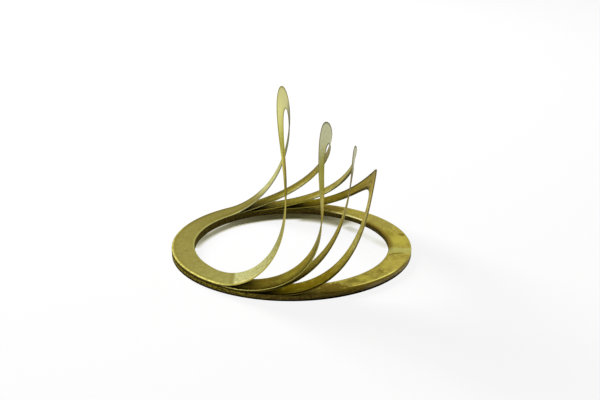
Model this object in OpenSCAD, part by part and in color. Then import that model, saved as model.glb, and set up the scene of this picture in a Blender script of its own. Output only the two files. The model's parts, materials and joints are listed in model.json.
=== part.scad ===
// Laminated shim: a flat ring of thin brass laminations bonded one on another.
// The upper four laminations are peeled part of the way round and bent up as open loops.
// Millimetres, +Z up, origin at the centre of the ring's bottom face, peeled side towards +X.

/* [Ring] */
// Bore diameter of every lamination
bore_d = 20.6; // [18:0.1:24]
// Width of the ring from the bore to the rim
ring_w = 2.4; // [1.6:0.05:3.2]
// Thickness of one brass lamination
lamination_t = 0.075; // [0.05:0.005:0.1]
// Thickness of the adhesive film between two laminations
bond_film = 0.003; // [0.002:0.001:0.006]
// Depth by which punching rolled down both edges of the top face
edge_roll_depth = 0.09; // [0.04:0.01:0.12]
// Width of the rolled edges, measured in from the rim and from the bore
edge_roll_w = 0.3; // [0.2:0.05:0.5]

/* [Lamination 1, the top one] */
// Place on the X axis where lamination 1 leaves the stack
peel_1 = -7.5; // [-7.9:0.1:-7.3]
// Slant of its bend lines at the place where it leaves the stack, degrees
slant_start_1_deg = 0.5; // [-1:0.5:1]
// Slant of its bend lines half way, degrees
slant_mid_1_deg = -5.5; // [-8:0.5:0]
// Slant of its bend lines at the tip, degrees
slant_tip_1_deg = 19.5; // [10:0.5:24]
// Bend rate where it leaves the stack, degrees per loop length
bend_start_1_deg = 213; // [200:1:230]
// Bend rate at the first third of the loop, degrees per loop length
bend_low_1_deg = 146; // [130:1:160]
// Bend rate at the second third of the loop, degrees per loop length
bend_high_1_deg = 18; // [10:1:40]
// Bend rate at the tip, degrees per loop length
bend_tip_1_deg = 44; // [10:1:50]

/* [Lamination 2] */
// Place on the X axis where lamination 2 leaves the stack
peel_2 = -6.6; // [-6.8:0.1:-6.4]
// Slant of its bend lines at the place where it leaves the stack, degrees
slant_start_2_deg = -4.5; // [-5:0.5:0]
// Slant of its bend lines half way, degrees
slant_mid_2_deg = 0.5; // [-4:0.5:4]
// Slant of its bend lines at the tip, degrees
slant_tip_2_deg = 19.5; // [10:0.5:24]
// Bend rate where it leaves the stack, degrees per loop length
bend_start_2_deg = 82; // [70:1:90]
// Bend rate at the first third of the loop, degrees per loop length
bend_low_2_deg = 34; // [26:1:42]
// Bend rate at the second third of the loop, degrees per loop length
bend_high_2_deg = 344; // [330:1:352]
// Bend rate at the tip, degrees per loop length
bend_tip_2_deg = -57; // [-64:1:-40]

/* [Lamination 3] */
// Place on the X axis where lamination 3 leaves the stack
peel_3 = -4.8; // [-5:0.1:-4.4]
// Slant of its bend lines at the place where it leaves the stack, degrees
slant_start_3_deg = 3.5; // [0:0.5:4]
// Slant of its bend lines half way, degrees
slant_mid_3_deg = 11; // [6:0.5:14]
// Slant of its bend lines at the tip, degrees
slant_tip_3_deg = 4; // [0:0.5:8]
// Bend rate where it leaves the stack, degrees per loop length
bend_start_3_deg = 54; // [46:1:60]
// Bend rate at the first third of the loop, degrees per loop length
bend_low_3_deg = 64; // [56:1:72]
// Bend rate at the second third of the loop, degrees per loop length
bend_high_3_deg = 195; // [184:1:204]
// Bend rate at the tip, degrees per loop length
bend_tip_3_deg = 65; // [50:1:76]

/* [Lamination 4] */
// Place on the X axis where lamination 4 leaves the stack
peel_4 = -2; // [-2.3:0.1:-1.2]
// Slant of its bend lines at the place where it leaves the stack, degrees
slant_start_4_deg = 1.5; // [0:0.5:3]
// Slant of its bend lines half way, degrees
slant_mid_4_deg = 5; // [2:0.5:9]
// Slant of its bend lines at the tip, degrees
slant_tip_4_deg = 13.5; // [6:0.5:16]
// Bend rate where it leaves the stack, degrees per loop length
bend_start_4_deg = 17; // [10:1:24]
// Bend rate at the first third of the loop, degrees per loop length
bend_low_4_deg = 134; // [124:1:142]
// Bend rate at the second third of the loop, degrees per loop length
bend_high_4_deg = 89; // [78:1:98]
// Bend rate at the tip, degrees per loop length
bend_tip_4_deg = 77; // [60:1:86]

/* [Hidden] */
NODES = ["lamination_1", "lamination_2", "lamination_3", "lamination_4", "lamination_5",
         "lamination_6", "lamination_7", "lamination_8", "lamination_9", "lamination_10",
         "lamination_11"];
count = len(NODES);
inner_r = bore_d / 2;
outer_r = inner_r + ring_w;
pitch = lamination_t + bond_film;
total_t = count * pitch - bond_film;
bend_lines = 48;
ring_steps = 96;
$fn = 96;

// Each loop: place of the peel line, slants of the bend lines, bend rates along the loop
loops = [
  [peel_1, [slant_start_1_deg, slant_mid_1_deg, slant_tip_1_deg],
   [bend_start_1_deg, bend_low_1_deg, bend_high_1_deg, bend_tip_1_deg]],
  [peel_2, [slant_start_2_deg, slant_mid_2_deg, slant_tip_2_deg],
   [bend_start_2_deg, bend_low_2_deg, bend_high_2_deg, bend_tip_2_deg]],
  [peel_3, [slant_start_3_deg, slant_mid_3_deg, slant_tip_3_deg],
   [bend_start_3_deg, bend_low_3_deg, bend_high_3_deg, bend_tip_3_deg]],
  [peel_4, [slant_start_4_deg, slant_mid_4_deg, slant_tip_4_deg],
   [bend_start_4_deg, bend_low_4_deg, bend_high_4_deg, bend_tip_4_deg]]
];

// Height of a lamination's lower face; lamination 1 is the top one
function level(number) = (count - number) * pitch;

// How far the rim of a face at this height is rolled down: most at the top, none at the bottom
function rolled(height) = edge_roll_depth * pow(height / total_t, 2);

// Section of a lamination as [radius, height], its lower face at height 0
function section(number) = [
  [inner_r, lamination_t - rolled(level(number) + lamination_t)],
  [inner_r + edge_roll_w, lamination_t],
  [(inner_r + outer_r) / 2, lamination_t],
  [outer_r - edge_roll_w, lamination_t],
  [outer_r, lamination_t - rolled(level(number) + lamination_t)],
  [outer_r, -rolled(level(number))],
  [outer_r - edge_roll_w, 0],
  [(inner_r + outer_r) / 2, 0],
  [inner_r + edge_roll_w, 0],
  [inner_r, -rolled(level(number))]
];

// Smooth laws for the slant and for the bend rate; along runs from 0 at the peel line to 1 at the tip
function slant_at(v, along) =
  v[0] * pow(1 - along, 2)
  + 2 * v[1] * along * (1 - along)
  + v[2] * pow(along, 2);
function bend_at(v, along) =
  v[0] * pow(1 - along, 3)
  + 3 * v[1] * along * pow(1 - along, 2)
  + 3 * v[2] * pow(along, 2) * (1 - along)
  + v[3] * pow(along, 3);

// One bend line of a loop as [place on the X axis, slant, bend in degrees]
function bend_line(loop, k) =
  let (along = (k + 0.5) / bend_lines)
  [loop[0] + (outer_r - loop[0]) * along,
   slant_at(loop[1], along),
   bend_at(loop[2], along) / bend_lines];

// Turning matrices about Z and about Y, and a shift along X
function turn_z(a) =
  [[cos(a), -sin(a), 0, 0], [sin(a), cos(a), 0, 0], [0, 0, 1, 0], [0, 0, 0, 1]];
function turn_y(a) =
  [[cos(a), 0, sin(a), 0], [0, 1, 0, 0], [-sin(a), 0, cos(a), 0], [0, 0, 0, 1]];
function shift_x(d) =
  [[1, 0, 0, d], [0, 1, 0, 0], [0, 0, 1, 0], [0, 0, 0, 1]];

// Bend upwards about one bend line
function bend_up(b) =
  shift_x(b[0]) * turn_z(-b[1]) * turn_y(-b[2]) * turn_z(b[1]) * shift_x(-b[0]);

// How many bend lines lie between the bonded part and a point of the flat lamination
function lines_passed(lines, x, y) =
  len([for (b = lines) if ((x - b[0]) * cos(b[1]) - y * sin(b[1]) > 0) 1]);

// A point of the flat lamination carried to its place on the bent one
function carried(lines, moves, p) =
  let (passed = lines_passed(lines, p[0], p[1]))
  let (q = passed == 0 ? [p[0], p[1], p[2], 1] : moves[passed - 1] * [p[0], p[1], p[2], 1])
  [q[0], q[1], q[2]];

// A flat lamination, bonded all the way round
module bonded_lamination(number) {
  translate([0, 0, level(number)])
    rotate_extrude()
      polygon(section(number));
}

// A lamination that leaves the stack at its peel line and is bent up without stretching
module peeled_lamination(number) {
  loop = loops[number - 1];
  lines = [for (k = [0 : bend_lines - 1]) bend_line(loop, k)];
  moves = [for (k = 0, m = bend_up(lines[0]); k < bend_lines;
                k = k + 1, m = k < bend_lines ? m * bend_up(lines[k]) : m) m];
  profile = section(number);
  sides = len(profile);
  half_t = lamination_t / 2;
  points = [for (i = [0 : ring_steps - 1])
            let (a = 360 * i / ring_steps)
            for (s = profile) carried(lines, moves, [s[0] * cos(a), s[0] * sin(a), s[1] - half_t])];
  faces = [for (i = [0 : ring_steps - 1])
           let (here = i * sides, next = ((i + 1) % ring_steps) * sides)
           for (j = [0 : sides - 1])
           let (k = (j + 1) % sides)
           for (f = [[here + j, here + k, next + k], [here + j, next + k, next + j]]) f];
  translate([0, 0, level(number) + half_t])
    polyhedron(points = points, faces = faces, convexity = 8);
}

module lamination_1() { color("#b5aa62") peeled_lamination(1); }
module lamination_2() { color("#a99b55") peeled_lamination(2); }
module lamination_3() { color("#a0914b") peeled_lamination(3); }
module lamination_4() { color("#a0914b") peeled_lamination(4); }
module lamination_5() { color("#a79739") bonded_lamination(5); }
module lamination_6() { color("#8f8034") bonded_lamination(6); }
module lamination_7() { color("#8f8034") bonded_lamination(7); }
module lamination_8() { color("#8f8034") bonded_lamination(8); }
module lamination_9() { color("#8f8034") bonded_lamination(9); }
module lamination_10() { color("#8f8034") bonded_lamination(10); }
module lamination_11() { color("#8f8034") bonded_lamination(11); }

lamination_1();
lamination_2();
lamination_3();
lamination_4();
lamination_5();
lamination_6();
lamination_7();
lamination_8();
lamination_9();
lamination_10();
lamination_11();
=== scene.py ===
"""Laminated shim: brass laminations bonded in a ring, the upper four peeled up as open loops."""

import json
import math

import bpy
from bpy.props import FloatProperty, FloatVectorProperty, IntProperty, PointerProperty
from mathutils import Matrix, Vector


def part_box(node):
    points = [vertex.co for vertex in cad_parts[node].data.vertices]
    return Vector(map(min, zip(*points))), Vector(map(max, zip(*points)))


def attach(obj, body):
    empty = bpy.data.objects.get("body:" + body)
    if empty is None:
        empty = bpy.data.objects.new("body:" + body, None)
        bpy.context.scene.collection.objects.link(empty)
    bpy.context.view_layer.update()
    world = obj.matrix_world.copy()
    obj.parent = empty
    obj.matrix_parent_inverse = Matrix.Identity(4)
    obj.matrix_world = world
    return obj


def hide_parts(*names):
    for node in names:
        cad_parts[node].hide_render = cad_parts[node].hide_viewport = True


bl_info = {
    "name": "Laminated Shim",
    "version": (1, 0, 0),
    "blender": (4, 5, 0),
    "location": "3D View > Sidebar > Shim",
    "description": "Builds a laminated brass shim whose upper laminations are peeled into loops",
    "category": "Object",
}

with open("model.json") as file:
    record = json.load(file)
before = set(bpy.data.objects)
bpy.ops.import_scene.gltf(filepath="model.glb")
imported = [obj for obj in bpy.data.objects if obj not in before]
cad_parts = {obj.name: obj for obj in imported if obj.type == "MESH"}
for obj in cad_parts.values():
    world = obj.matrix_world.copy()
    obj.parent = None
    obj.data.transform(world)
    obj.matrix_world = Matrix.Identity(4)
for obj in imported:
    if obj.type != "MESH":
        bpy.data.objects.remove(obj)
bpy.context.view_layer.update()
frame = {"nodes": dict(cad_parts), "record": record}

BODY = "root"
LAMINATIONS = len(frame["nodes"])
PEELED = 4
MM = 1000.0
FLAT = "flat"
RIM_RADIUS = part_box(f"lamination_{LAMINATIONS}")[1].x
BORE = next(m for m in frame["record"]["mounts"] if m["name"] == "bore")
BORE_RADIUS = BORE["dims"]["r_mm"] / MM


# Curve of display values: largest value, end and slope of its straight dark part, then offset and power
DISPLAY_MAX = 255.0
DARK_END = 0.04045
DARK_SLOPE = 12.92
CURVE_OFFSET = 0.055
CURVE_POWER = 2.4


def tint(red, green, blue):
    """A colour given in display values from 0 to 255, as the scene-linear colour that Blender works in."""
    def linear(value):
        share = value / DISPLAY_MAX
        if share <= DARK_END:
            return share / DARK_SLOPE
        return ((share + CURVE_OFFSET) / (1.0 + CURVE_OFFSET)) ** CURVE_POWER
    return (linear(red), linear(green), linear(blue))


def turned(*degrees):
    """Angles in degrees as the radians that angle properties hold."""
    return tuple(math.radians(angle) for angle in degrees)


def length(name, description, default):
    """A length property in metres."""
    return FloatProperty(name=name, description=description, default=default, unit="LENGTH", precision=6)


def colour(name, description, default):
    """A colour property."""
    return FloatVectorProperty(
        name=name, description=description, default=default, subtype="COLOR", min=0.0, max=1.0)


def per_loop(name, description, default, unit):
    """A property with one value for each of the four peeled laminations, the top one first."""
    return FloatVectorProperty(
        name=name, description=description, default=default, size=PEELED, unit=unit, precision=6)


class ShimSizes(bpy.types.PropertyGroup):
    """Sizes of the punched laminations."""

    bore_radius: length("Bore radius", "Radius of the hole in every lamination", BORE_RADIUS)
    rim_radius: length("Rim radius", "Outer radius of every lamination", RIM_RADIUS)
    thickness: length("Thickness", "Thickness of one lamination", 0.000075)
    film: length("Adhesive film", "Gap that the adhesive fills between two laminations", 0.000003)
    roll_depth: length("Edge roll depth", "How far punching rolled the top face's edges down", 0.00009)
    roll_width: length("Edge roll width", "Width of the rolled edges", 0.0003)
    edge_bulge: length("Edge bulge", "How far the cut edge bulges half way through the foil", 0.000014)
    around: IntProperty(name="Steps around", description="Steps round the ring", default=540, min=48)
    across: IntProperty(name="Cuts across", description="Cuts across the ring's width", default=23, min=7)


class ShimLoops(bpy.types.PropertyGroup):
    """Shapes of the four peeled laminations: bend lines from the peel line to the tip."""

    peel: per_loop("Peel place", "Where the lamination leaves the stack, along X",
                   (-0.0075, -0.0066, -0.0048, -0.002), "LENGTH")
    slant_start: per_loop("Slant at the peel line", "Slant of the bend lines where peeling starts",
                          turned(0.5, -4.5, 3.5, 1.5), "ROTATION")
    slant_mid: per_loop("Slant half way", "Slant of the bend lines half way along the loop",
                        turned(-5.5, 0.5, 11, 5), "ROTATION")
    slant_tip: per_loop("Slant at the tip", "Slant of the bend lines at the loop's tip",
                        turned(19.5, 19.5, 4, 13.5), "ROTATION")
    bend_start: per_loop("Bend at the peel line", "Bend rate where peeling starts, per loop length",
                         turned(213, 82, 54, 17), "ROTATION")
    bend_low: per_loop("Bend at one third", "Bend rate at the first third, per loop length",
                       turned(146, 34, 64, 134), "ROTATION")
    bend_high: per_loop("Bend at two thirds", "Bend rate at the second third, per loop length",
                        turned(18, 344, 195, 89), "ROTATION")
    bend_tip: per_loop("Bend at the tip", "Bend rate at the tip, per loop length",
                       turned(44, -57, 65, 77), "ROTATION")
    lines: IntProperty(name="Bend lines", description="Bend lines along a loop", default=144, min=12)


class ShimColours(bpy.types.PropertyGroup):
    """Colours of the brass foil, its tarnish and its cut edges, and of painted light and shade."""

    khaki: colour("Matte top", "Matte foil of the top lamination", tint(160, 151, 84))
    khaki_dark: colour("Matte speckle", "Darker speckle in the matte foil", tint(136, 126, 64))
    fleck: colour("Brown flecks", "Small brown flecks in the matte foil", tint(122, 100, 52))
    # Painted light: the foil of the bends is made paler where it catches the light
    pale: colour("Flexed foil", "Foil made paler by the bend", tint(219, 218, 155))
    straw: colour("Straw foil", "Paler upper part of the tallest loop", tint(238, 237, 166))
    lemon: colour("Yellow foil", "Yellow waist of the tallest loop", tint(218, 215, 100))
    sage: colour("Sage foil", "Matte green-grey foil half way up a loop", tint(188, 187, 114))
    moss: colour("Moss foil", "Yellow-green foil of the second loop's waist", tint(212, 212, 116))
    # Painted reflection: this grey stands in for the pale reflections near the loops' tips
    grey: colour("Dulled foil", "Greyed foil near the loops' tips", tint(198, 201, 176))
    dull: colour("Shadowed foil", "Greyed underside of the back arms", tint(132, 132, 104))
    # Painted reflection: this nearly colourless tone stands in for the reflection at the third loop's tip
    steel: colour("Neutral foil", "Nearly colourless foil at the third loop's tip", tint(188, 189, 178))
    slate: colour("Slate foil", "Dark grey outlines of the loops' tips", tint(92, 94, 74))
    honey: colour("Honey foil", "Warm bright foil at the fourth loop's tip", tint(200, 174, 42))
    gold: colour("Golden foil", "Foil that the peeled laminations uncovered", tint(184, 171, 84))
    amber: colour("Amber foil", "Warm golden foil of the loops' upper arms", tint(166, 146, 44))
    tan: colour("Tan foil", "Light brown foil where the loops cross", tint(204, 186, 90))
    bronze: colour("Bronze foil", "Brown-gold foil of the lowest loop's arms", tint(124, 105, 30))
    olive: colour("Olive foil", "Foil of the loops' middle arms", tint(142, 130, 40))
    umber: colour("Umber foil", "Brown foil low on the loops", tint(104, 87, 24))
    # Painted shade: the dark in the gaps by the peel lines; it also darkens loop edges and the rolled rim
    shade: colour("Painted shade and dark edges", "Dark foil next to the peel lines", tint(48, 38, 8))
    bright: colour("Bright patches", "Paler patches of the uncovered foil", tint(196, 186, 78))
    tarnish: colour("Tarnish", "Brown tarnish on the uncovered foil", tint(112, 88, 28))
    # Painted highlight on the rolled edges of the rim
    glint: colour("Painted rim highlight", "Bright rolled edge of the rim", tint(234, 225, 124))
    sparkle: colour("Sparkle", "Brightest part of the inner edge", tint(255, 248, 175))
    # The cut edge's own dark colour, darkened further as painted shade since the edges face away from the
    # light
    edge: colour("Cut edge", "Dark cut edge of the foil", tint(74, 60, 24))
    edge_light: colour("Edge mottle", "Lighter mottle of the cut edge", tint(124, 109, 40))
    # Painted reflection that lightens the cut edge at the right end
    sandy: colour("Sandy edge", "Painted reflection lighting the cut edge at the right end", tint(176, 158, 112))
    # Near-black for dark grit, a crack, loop outlines and the wall's foot, and for painted shade in the gaps
    black: colour("Edge grime", "Nearly black grime at the foot of the wall", tint(20, 13, 3))


class ShimStage(bpy.types.PropertyGroup):
    """Floor, lamps and camera."""

    camera_place: FloatVectorProperty(
        name="Camera place", description="Where the camera stands",
        default=(0.0, -0.08697, 0.03719), subtype="TRANSLATION", unit="LENGTH", precision=6)
    camera_target: FloatVectorProperty(
        name="Camera target", description="The point that the camera looks at",
        default=(0.000889, 0.0, 0.005457), subtype="TRANSLATION", unit="LENGTH", precision=6)
    camera_lens: FloatProperty(
        name="Lens", description="Focal length in millimetres on a 36 mm wide sensor", default=52.95)
    ambient: FloatProperty(name="Ambient", description="Strength of the light from all round", default=0.035)
    floor: colour("Floor", "Plain pale floor", (0.93, 0.93, 0.92))
    # Painted reflected light of the brass: the floor glows warm in this colour where its painted shadow lies
    floor_glow: colour("Floor glow", "White floor that the brass warms next to the wall", (1.0, 0.97, 0.56))
    # Painted reflected light of the brass: the floor is tinted warm in this colour under its painted shadow
    floor_warm: colour("Floor by the brass", "Floor that the brass tints by the wall", (0.88, 0.86, 0.58))


SETTINGS = {"sizes": ShimSizes, "loops": ShimLoops, "colours": ShimColours, "stage": ShimStage}


class Wire:
    """A socket that takes part in Python expressions: each operator adds a Math node to its tree."""

    def __init__(self, bench, socket):
        self.bench = bench
        self.socket = socket

    def calc(self, operation, *values):
        sockets = dict(enumerate(values))
        return self.bench.add("ShaderNodeMath", {"operation": operation}, sockets)["Value"]

    def __add__(self, other):
        return self.calc("ADD", self, other)

    def __radd__(self, other):
        return self.calc("ADD", other, self)

    def __sub__(self, other):
        return self.calc("SUBTRACT", self, other)

    def __rsub__(self, other):
        return self.calc("SUBTRACT", other, self)

    def __mul__(self, other):
        return self.calc("MULTIPLY", self, other)

    def __rmul__(self, other):
        return self.calc("MULTIPLY", other, self)

    def __truediv__(self, other):
        return self.calc("DIVIDE", self, other)

    def __pow__(self, other):
        return self.calc("POWER", self, other)

    def __neg__(self):
        return self.calc("MULTIPLY", self, -1.0)

    def __abs__(self):
        return self.calc("ABSOLUTE", self)

    def __gt__(self, other):
        return self.calc("GREATER_THAN", self, other)

    def sin(self):
        return self.calc("SINE", self)

    def cos(self):
        return self.calc("COSINE", self)

    def sqrt(self):
        return self.calc("SQRT", self)

    def sign(self):
        return self.calc("SIGN", self)

    def clamp(self):
        return self.least(1.0).most(0.0)

    def least(self, other):
        return self.calc("MINIMUM", self, other)

    def most(self, other):
        return self.calc("MAXIMUM", self, other)

    def clamp_to(self, low, high):
        return self.most(low).least(high)

    def rise(self, low, high):
        """0 below low, 1 above high, smooth between them."""
        sockets = {"Value": self, "From Min": low, "From Max": high, "To Min": 0.0, "To Max": 1.0}
        settings = {"interpolation_type": "SMOOTHSTEP"}
        return self.bench.add("ShaderNodeMapRange", settings, sockets)["Result"]

    def fall(self, low, high):
        """1 below low, 0 above high, smooth between them."""
        return 1.0 - self.rise(low, high)


class Bench:
    """Adds nodes to one tree, a material's or a mesh's."""

    def __init__(self, tree):
        self.tree = tree

    def add(self, kind, settings=None, sockets=None):
        """Adds a node: its settings first, then the values or links of its sockets; returns its outputs."""
        node = self.tree.nodes.new(kind)
        for name, value in (settings or {}).items():
            if name == "stops":
                self.set_stops(node.color_ramp, value)
            else:
                setattr(node, name, value)
        for key, value in (sockets or {}).items():
            self.plug(self.find(node, key), value)
        return {socket.name: Wire(self, socket) for socket in node.outputs if socket.enabled}

    @staticmethod
    def find(node, key):
        if isinstance(key, int):
            return node.inputs[key]
        return next(socket for socket in node.inputs if socket.enabled and socket.name == key)

    def plug(self, socket, value):
        if isinstance(value, Wire):
            self.tree.links.new(value.socket, socket)
        elif socket.type == "RGBA":
            socket.default_value = (*value[:3], 1.0)
        else:
            socket.default_value = value

    @staticmethod
    def set_stops(ramp, stops):
        while len(ramp.elements) < len(stops):
            ramp.elements.new(1.0)
        for element, (place, shade) in zip(ramp.elements, stops):
            element.position = place
            element.color = (*shade[:3], 1.0)

    def blend(self, base, over, share):
        """The colour over laid on base by a share from 0 to 1."""
        settings = {"data_type": "RGBA"}
        return self.add("ShaderNodeMix", settings, {"Factor": share, "A": base, "B": over})["Result"]

    def vector(self, x, y, z):
        return self.add("ShaderNodeCombineXYZ", None, {"X": x, "Y": y, "Z": z})["Vector"]

    def split(self, vector):
        parts = self.add("ShaderNodeSeparateXYZ", None, {"Vector": vector})
        return parts["X"], parts["Y"], parts["Z"]

    def noise(self, place, scale, detail, rough):
        """Smooth noise about 0.5."""
        sockets = {"Vector": place, "Scale": scale, "Detail": detail, "Roughness": rough}
        settings = {"noise_dimensions": "3D"}
        outputs = self.add("ShaderNodeTexNoise", settings, sockets)
        return outputs.get("Fac") or outputs["Factor"]


TREE_INPUTS = (
    ("Bore Radius", "NodeSocketFloat"),
    ("Rim Radius", "NodeSocketFloat"),
    ("Thickness", "NodeSocketFloat"),
    ("Level", "NodeSocketFloat"),
    ("Roll Top", "NodeSocketFloat"),
    ("Roll Bottom", "NodeSocketFloat"),
    ("Roll Width", "NodeSocketFloat"),
    ("Edge Bulge", "NodeSocketFloat"),
    ("Around", "NodeSocketInt"),
    ("Across", "NodeSocketInt"),
    ("Bend Lines", "NodeSocketInt"),
    ("Peel", "NodeSocketFloat"),
    ("Slant Start", "NodeSocketFloat"),
    ("Slant Mid", "NodeSocketFloat"),
    ("Slant Tip", "NodeSocketFloat"),
    ("Bend Start", "NodeSocketFloat"),
    ("Bend Low", "NodeSocketFloat"),
    ("Bend High", "NodeSocketFloat"),
    ("Bend Tip", "NodeSocketFloat"),
    ("Foil", "NodeSocketMaterial"),
)
# How the cuts across the foil crowd towards its edges, from what share of its half width on a point
# belongs to the edge, and how many cuts go through the edge
EDGE_CROWDING = 1.6
EDGE_FROM = 0.9999
EDGE_CUTS = 3


def foil_section(bench, given):
    """Curve of the foil's section: X from the rim to the bore, Y down through its thickness."""
    width = given["Rim Radius"] - given["Bore Radius"]
    half = width * 0.5
    thick = given["Thickness"]
    box = bench.add("GeometryNodeCurvePrimitiveQuadrilateral", {"mode": "RECTANGLE"},
                    {"Width": width, "Height": thick})["Curve"]
    index = bench.add("GeometryNodeInputIndex")["Index"]
    odd = index.calc("MODULO", index, 2.0)
    cuts = (1.0 - odd) * given["Across"] + odd * float(EDGE_CUTS)
    curve = bench.add("GeometryNodeSubdivideCurve", None, {"Curve": box, "Cuts": cuts})["Curve"]
    outward, through, _ = bench.split(bench.add("GeometryNodeInputPosition")["Position"])
    share = abs(outward) / half
    crowded = 1.0 - (1.0 - share).most(0.0) ** EDGE_CROWDING
    depth = abs(through) * 2.0 / thick
    bulge = given["Edge Bulge"] * (1.0 - (1.0 - depth * depth).most(0.0).sqrt())
    at_edge = share > EDGE_FROM
    place = outward.sign() * (half * crowded - bulge * at_edge)
    inboard = half - half * crowded
    nearness = (1.0 - inboard / given["Roll Width"]).most(0.0)
    height = through / thick + 0.5
    roll = given["Roll Bottom"] + (given["Roll Top"] - given["Roll Bottom"]) * height
    rolled = through - roll * nearness * nearness
    moved = bench.vector(-place, -rolled, 0.0)
    return bench.add("GeometryNodeSetPosition", None, {"Geometry": curve, "Position": moved})["Geometry"]


def bend_line(given, iteration):
    """Place, slant and bend of one bend line; the first is next to the tip, the last at the peel line."""
    count = given["Bend Lines"]
    along = (count - iteration - 0.5) / count
    rest = 1.0 - along
    slant = (given["Slant Start"] * rest * rest
             + 2.0 * given["Slant Mid"] * along * rest
             + given["Slant Tip"] * along * along)
    bend = (given["Bend Start"] * rest * rest * rest
            + 3.0 * given["Bend Low"] * along * rest * rest
            + 3.0 * given["Bend High"] * along * along * rest
            + given["Bend Tip"] * along * along * along) / count
    place = given["Peel"] + (given["Rim Radius"] - given["Peel"]) * along
    return place, slant, bend


def lamination_tree():
    """Mesh of one lamination: its section swept round the ring, then bent up line by line."""
    tree = bpy.data.node_groups.new("Lamination", "GeometryNodeTree")
    for name, kind in TREE_INPUTS:
        tree.interface.new_socket(name=name, in_out="INPUT", socket_type=kind)
    tree.interface.new_socket(name="Lamination", in_out="OUTPUT", socket_type="NodeSocketGeometry")
    bench = Bench(tree)
    given = bench.add("NodeGroupInput")
    middle = (given["Rim Radius"] + given["Bore Radius"]) * 0.5
    circle = bench.add("GeometryNodeCurvePrimitiveCircle", {"mode": "RADIUS"},
                       {"Resolution": given["Around"], "Radius": middle})["Curve"]
    upright = bench.add("GeometryNodeSetCurveNormal", {"mode": "Z_UP"}, {"Curve": circle})["Curve"]
    ring = bench.add("GeometryNodeCurveToMesh", None,
                     {"Curve": upright, "Profile Curve": foil_section(bench, given)})["Mesh"]
    here = bench.add("GeometryNodeInputPosition")["Position"]
    flat = bench.add("GeometryNodeStoreNamedAttribute", {"data_type": "FLOAT_VECTOR", "domain": "POINT"},
                     {"Geometry": ring, "Name": FLAT, "Value": here})["Geometry"]
    start = tree.nodes.new("GeometryNodeRepeatInput")
    end = tree.nodes.new("GeometryNodeRepeatOutput")
    start.pair_with_output(end)
    bench.plug(start.inputs["Iterations"], given["Bend Lines"])
    bench.plug(start.inputs["Geometry"], flat)
    place, slant, bend = bend_line(given, Wire(bench, start.outputs["Iteration"]))
    attribute = bench.add("GeometryNodeInputNamedAttribute", {"data_type": "FLOAT_VECTOR"}, {"Name": FLAT})
    flat_x, flat_y, _ = bench.split(attribute["Attribute"])
    beyond = (flat_x - place) * slant.cos() - flat_y * slant.sin() > 0.0
    turn = bench.add("ShaderNodeVectorRotate", {"rotation_type": "AXIS_ANGLE"}, {
        "Vector": bench.add("GeometryNodeInputPosition")["Position"],
        "Center": bench.vector(place, 0.0, 0.0),
        "Axis": bench.vector(slant.sin(), slant.cos(), 0.0),
        "Angle": -bend})["Vector"]
    bent = bench.add("GeometryNodeSetPosition", None, {
        "Geometry": Wire(bench, start.outputs["Geometry"]),
        "Selection": beyond,
        "Position": turn})["Geometry"]
    bench.plug(end.inputs["Geometry"], bent)
    lift = bench.vector(0.0, 0.0, given["Level"] + given["Thickness"] * 0.5)
    raised = bench.add("GeometryNodeSetPosition", None,
                       {"Geometry": Wire(bench, end.outputs["Geometry"]), "Offset": lift})["Geometry"]
    smooth = bench.add("GeometryNodeSetShadeSmooth", None, {"Geometry": raised})["Geometry"]
    real = bench.add("GeometryNodeRealizeInstances", None, {"Geometry": smooth})["Geometry"]
    done = bench.add("GeometryNodeSetMaterial", None,
                     {"Geometry": real, "Material": given["Foil"]})["Geometry"]
    bench.add("NodeGroupOutput", None, {"Lamination": done})
    return tree


def rolled_depth(sizes, height, total):
    """How far the edges of a face at this height are rolled down: most at the top, none at the bottom."""
    return sizes.roll_depth * (height / total) ** 2


def make_lamination(number, tree, finish):
    """One lamination as a plain mesh that stands for its CAD node."""
    sizes = bpy.context.scene.shim_sizes
    loops = bpy.context.scene.shim_loops
    pitch = sizes.thickness + sizes.film
    total = LAMINATIONS * pitch - sizes.film
    level = (LAMINATIONS - number) * pitch
    values = {
        "Bore Radius": sizes.bore_radius,
        "Rim Radius": sizes.rim_radius,
        "Thickness": sizes.thickness,
        "Level": level,
        "Roll Top": rolled_depth(sizes, level + sizes.thickness, total),
        "Roll Bottom": rolled_depth(sizes, level, total),
        "Roll Width": sizes.roll_width,
        "Edge Bulge": sizes.edge_bulge,
        "Around": sizes.around,
        "Across": sizes.across,
        "Bend Lines": 0,
        "Foil": finish,
    }
    if number <= PEELED:
        which = number - 1
        values.update({
            "Bend Lines": loops.lines,
            "Peel": loops.peel[which],
            "Slant Start": loops.slant_start[which],
            "Slant Mid": loops.slant_mid[which],
            "Slant Tip": loops.slant_tip[which],
            "Bend Start": loops.bend_start[which],
            "Bend Low": loops.bend_low[which],
            "Bend High": loops.bend_high[which],
            "Bend Tip": loops.bend_tip[which],
        })
    name = f"foil_{number}"
    source = bpy.data.objects.new(name + "_tree", bpy.data.meshes.new(name + "_tree"))
    bpy.context.scene.collection.objects.link(source)
    modifier = source.modifiers.new("Lamination", "NODES")
    modifier.node_group = tree
    for item in tree.interface.items_tree:
        if item.in_out == "INPUT" and item.name in values:
            modifier[item.identifier] = values[item.name]
    graph = bpy.context.evaluated_depsgraph_get()
    mesh = bpy.data.meshes.new_from_object(source.evaluated_get(graph), depsgraph=graph)
    bpy.data.objects.remove(source)
    if not mesh.polygons:
        raise RuntimeError(f"lamination {number} has no faces")
    mesh.name = name
    piece = bpy.data.objects.new(name, mesh)
    bpy.context.scene.collection.objects.link(piece)
    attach(piece, BODY)
    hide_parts(f"lamination_{number}")
    return piece


# How far the noise of one lamination lies from that of the next, along X and along Y in millimetres
NOISE_STEP = (17.3, 5.1)


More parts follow.
